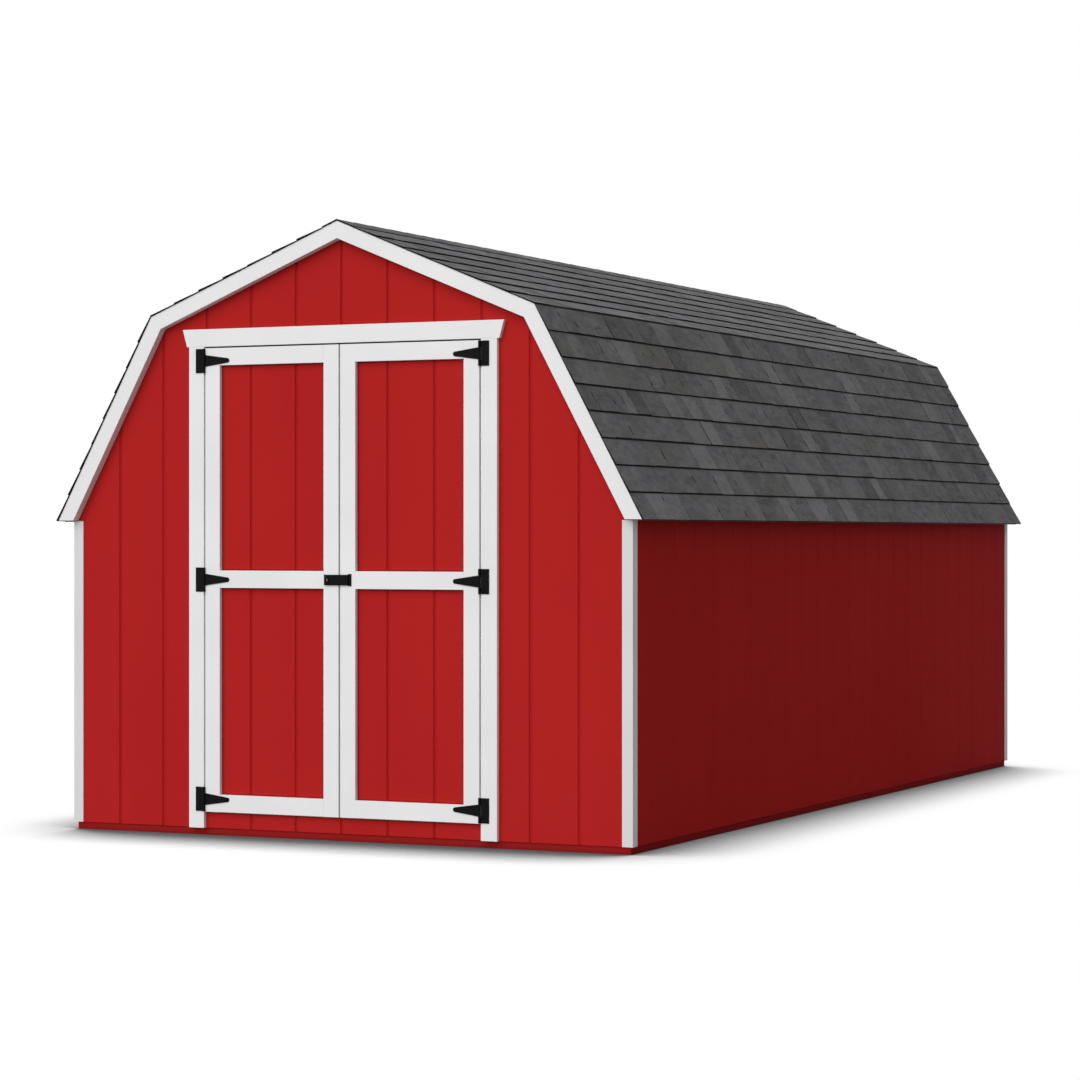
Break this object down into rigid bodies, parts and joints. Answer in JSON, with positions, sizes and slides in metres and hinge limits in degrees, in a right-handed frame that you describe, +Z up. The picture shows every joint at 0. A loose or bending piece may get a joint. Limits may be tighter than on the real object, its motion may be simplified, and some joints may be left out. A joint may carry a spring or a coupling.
{
  "type": "gambrel barn shed",
  "caption": "Timber barn with a two-slope shingled roof, grooved plank siding, white trim and a pair of outward opening doors on strap hinges.",
  "frame": {"origin": "centre of the footprint, on the ground", "axes": "+Z up; the front with the doors faces -Y; +X is to the right seen from the front"},
  "size_m": [2.5978, 4.9628, 2.4247],
  "materials": {
    "red_siding": "painted, satin",
    "white_trim": "painted, satin",
    "framing": "bare softwood",
    "floor_frame": "painted, satin",
    "sheathing": "bare plywood",
    "shingles": "mineral granules on asphalt",
    "black_iron": "powder coated, satin"
  },
  "bodies": {
    "barn": {"back_rake_boards": "white_trim", "back_siding": "red_siding", "back_wall_plate": "framing", "back_wall_studs": "framing", "corner_trims": "white_trim", "door_header": "framing", "door_header_trim": "white_trim", "door_side_trims": "white_trim", "eave_blocks": "framing", "floor_deck": "sheathing", "floor_joists": "floor_frame", "floor_rims": "floor_frame", "front_rake_boards": "white_trim", "front_siding_gable": "red_siding", "front_siding_left": "red_siding", "front_siding_right": "red_siding", "front_siding_sill": "red_siding", "front_wall_plates": "framing", "front_wall_studs": "framing", "hinge_plates": "black_iron", "rafter_gussets": "sheathing", "rafters_lower": "framing", "rafters_upper": "framing", "ridge_cap": "shingles", "roof_deck_lower": "sheathing", "roof_deck_upper": "sheathing", "shingles_lower": "shingles", "shingles_upper": "shingles", "side_siding_left": "red_siding", "side_siding_right": "red_siding", "side_wall_plates": "framing", "side_wall_studs": "framing"},
    "right_door": {"right_door_panel": "red_siding", "right_door_stiles": "white_trim", "right_door_rails": "white_trim", "right_door_back_frame": "framing", "right_hinge_straps": "black_iron", "hasp_leaf": "black_iron"},
    "left_door": {"left_door_panel": "red_siding", "left_door_stiles": "white_trim", "left_door_rails": "white_trim", "left_door_back_frame": "framing", "left_hinge_straps": "black_iron", "hasp_staple": "black_iron"},
    "hasp": {"hasp_strap": "black_iron"}
  },
  "joints": [
    {"name": "right_door_swing", "type": "hinge", "parent": "barn", "child": "right_door", "pos_m": [0.61, -2.4629, 1.017], "axis": [0, 0, 1], "range_deg": [0, 170]},
    {"name": "left_door_swing", "type": "hinge", "parent": "barn", "child": "left_door", "pos_m": [-0.61, -2.4629, 1.017], "axis": [0, 0, -1], "range_deg": [0, 170]},
    {"name": "hasp_swing", "type": "hinge", "parent": "right_door", "child": "hasp", "pos_m": [0.039, -2.46365, 1.019], "axis": [0, 0, 1], "range_deg": [0, 170]}
  ]
}
